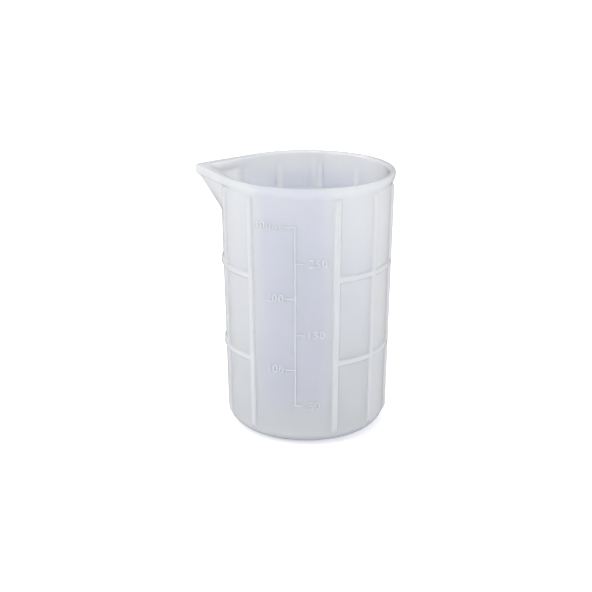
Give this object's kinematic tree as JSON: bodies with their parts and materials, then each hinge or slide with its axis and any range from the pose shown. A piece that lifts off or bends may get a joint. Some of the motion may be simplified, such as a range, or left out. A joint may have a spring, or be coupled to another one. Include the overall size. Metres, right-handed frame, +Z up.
{
  "type": "silicone resin measuring cup",
  "caption": "Translucent silicone measuring and mixing cup with a pour spout, thickened lip, raised millilitre scale, and outer ribs and hoops.",
  "frame": {"origin": "centre of the flat underside, on the cup's axis", "axes": "+Z up along the cup's axis, -Y out of the wall that carries the graduation scale, -X along the pour spout"},
  "size_m": [0.0824, 0.0722, 0.108],
  "materials": {
    "silicone": "translucent milky white, satin"
  },
  "bodies": {
    "root": {"base_dish": "silicone", "side_wall": "silicone", "rim_lip": "silicone", "pour_spout": "silicone", "scale_ladder": "silicone", "rib_01": "silicone", "rib_02": "silicone", "rib_03": "silicone", "rib_04": "silicone", "rib_05": "silicone", "rib_06": "silicone", "rib_07": "silicone", "rib_08": "silicone", "rib_09": "silicone", "rib_10": "silicone", "upper_hoop_1": "silicone", "upper_hoop_2": "silicone", "upper_hoop_3": "silicone", "upper_hoop_4": "silicone", "upper_hoop_5": "silicone", "upper_hoop_6": "silicone", "upper_hoop_7": "silicone", "upper_hoop_8": "silicone", "upper_hoop_9": "silicone", "lower_hoop_1": "silicone", "lower_hoop_2": "silicone", "lower_hoop_3": "silicone", "lower_hoop_4": "silicone", "lower_hoop_5": "silicone", "lower_hoop_6": "silicone", "lower_hoop_7": "silicone", "lower_hoop_8": "silicone", "lower_hoop_9": "silicone"}
  },
  "joints": []
}
